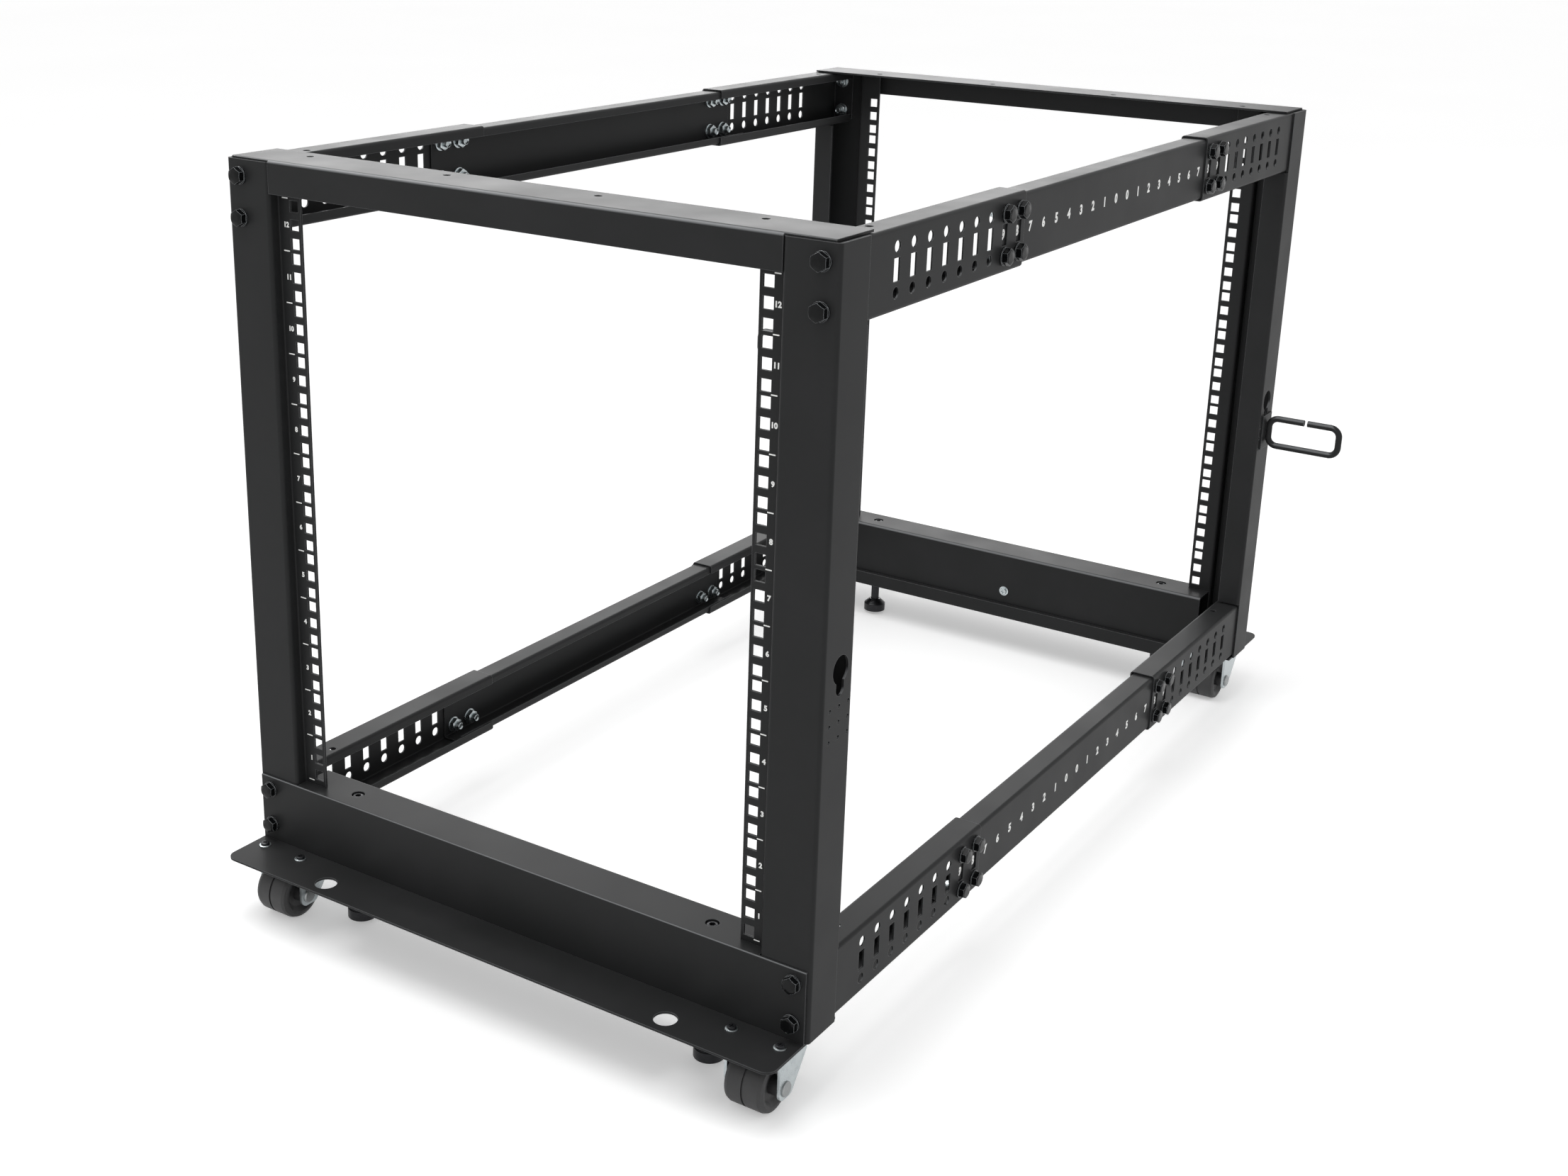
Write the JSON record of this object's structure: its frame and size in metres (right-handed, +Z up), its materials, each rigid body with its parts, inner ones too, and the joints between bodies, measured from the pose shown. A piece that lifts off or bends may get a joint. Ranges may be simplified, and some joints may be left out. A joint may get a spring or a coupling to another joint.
{
  "type": "open-frame rack",
  "caption": "Open-frame four-post floor rack for 19-inch equipment, with square-hole posts, telescoping side rails for depth, swivel casters, levelling feet and cable rings.",
  "frame": {"origin": "on the floor under the middle of the rack", "axes": "+X to the right seen from the front, +Y to the back, +Z up"},
  "size_m": [0.769, 1.109, 0.696],
  "materials": {
    "powder_coated_steel": "satin black powder coat with a fine texture",
    "zinc_plated_steel": "bright zinc plating",
    "wheel_polymer": "moulded black polymer, slightly worn sheen",
    "foot_steel": "black coated steel"
  },
  "bodies": {
    "frame": {"front_left_post": "powder_coated_steel", "front_right_post": "powder_coated_steel", "rear_left_post": "powder_coated_steel", "rear_right_post": "powder_coated_steel", "top_front_crossbar": "powder_coated_steel", "base_front_channel": "powder_coated_steel", "base_front_plate": "powder_coated_steel", "top_rear_crossbar": "powder_coated_steel", "base_rear_channel": "powder_coated_steel", "base_rear_plate": "powder_coated_steel", "upper_left_front_bracket": "powder_coated_steel", "upper_left_rear_bracket": "powder_coated_steel", "upper_left_middle_rail": "powder_coated_steel", "upper_right_front_bracket": "powder_coated_steel", "upper_right_rear_bracket": "powder_coated_steel", "upper_right_middle_rail": "powder_coated_steel", "lower_left_front_bracket": "powder_coated_steel", "lower_left_rear_bracket": "powder_coated_steel", "lower_left_middle_rail": "powder_coated_steel", "lower_right_front_bracket": "powder_coated_steel", "lower_right_rear_bracket": "powder_coated_steel", "lower_right_middle_rail": "powder_coated_steel", "front_left_caster_plate": "zinc_plated_steel", "front_right_caster_plate": "zinc_plated_steel", "rear_left_caster_plate": "zinc_plated_steel", "rear_right_caster_plate": "zinc_plated_steel", "left_cable_ring": "powder_coated_steel", "right_cable_ring": "powder_coated_steel"},
    "front_left_caster": {"front_left_caster_fork": "zinc_plated_steel", "front_left_caster_axle": "zinc_plated_steel"},
    "front_left_wheel": {"front_left_caster_wheel": "wheel_polymer"},
    "front_left_foot": {"front_left_levelling_foot": "foot_steel"},
    "front_right_caster": {"front_right_caster_fork": "zinc_plated_steel", "front_right_caster_axle": "zinc_plated_steel"},
    "front_right_wheel": {"front_right_caster_wheel": "wheel_polymer"},
    "front_right_foot": {"front_right_levelling_foot": "foot_steel"},
    "rear_left_caster": {"rear_left_caster_fork": "zinc_plated_steel", "rear_left_caster_axle": "zinc_plated_steel"},
    "rear_left_wheel": {"rear_left_caster_wheel": "wheel_polymer"},
    "rear_left_foot": {"rear_left_levelling_foot": "foot_steel"},
    "rear_right_caster": {"rear_right_caster_fork": "zinc_plated_steel", "rear_right_caster_axle": "zinc_plated_steel"},
    "rear_right_wheel": {"rear_right_caster_wheel": "wheel_polymer"},
    "rear_right_foot": {"rear_right_levelling_foot": "foot_steel"}
  },
  "joints": [
    {"name": "front_left_swivel", "type": "hinge", "parent": "frame", "child": "front_left_caster", "pos_m": [-0.258, -0.4985, 0.0557], "axis": [0, 0, 1], "continuous": true},
    {"name": "front_left_roll", "type": "hinge", "parent": "front_left_caster", "child": "front_left_wheel", "pos_m": [-0.258, -0.5135, 0.024], "axis": [1, 0, 0], "continuous": true},
    {"name": "front_left_level", "type": "slide", "parent": "frame", "child": "front_left_foot", "axis": [0, 0, 1], "range_m": [-0.02, 0.025]},
    {"name": "front_right_swivel", "type": "hinge", "parent": "frame", "child": "front_right_caster", "pos_m": [0.258, -0.4985, 0.0557], "axis": [0, 0, 1], "continuous": true},
    {"name": "front_right_roll", "type": "hinge", "parent": "front_right_caster", "child": "front_right_wheel", "pos_m": [0.258, -0.5135, 0.024], "axis": [1, 0, 0], "continuous": true},
    {"name": "front_right_level", "type": "slide", "parent": "frame", "child": "front_right_foot", "axis": [0, 0, 1], "range_m": [-0.02, 0.025]},
    {"name": "rear_left_swivel", "type": "hinge", "parent": "frame", "child": "rear_left_caster", "pos_m": [-0.258, 0.4985, 0.0557], "axis": [0, 0, 1], "continuous": true},
    {"name": "rear_left_roll", "type": "hinge", "parent": "rear_left_caster", "child": "rear_left_wheel", "pos_m": [-0.258, 0.4835, 0.024], "axis": [1, 0, 0], "continuous": true},
    {"name": "rear_left_level", "type": "slide", "parent": "frame", "child": "rear_left_foot", "axis": [0, 0, 1], "range_m": [-0.02, 0.025]},
    {"name": "rear_right_swivel", "type": "hinge", "parent": "frame", "child": "rear_right_caster", "pos_m": [0.258, 0.4985, 0.0557], "axis": [0, 0, 1], "continuous": true},
    {"name": "rear_right_roll", "type": "hinge", "parent": "rear_right_caster", "child": "rear_right_wheel", "pos_m": [0.258, 0.4835, 0.024], "axis": [1, 0, 0], "continuous": true},
    {"name": "rear_right_level", "type": "slide", "parent": "frame", "child": "rear_right_foot", "axis": [0, 0, 1], "range_m": [-0.02, 0.025]}
  ]
}
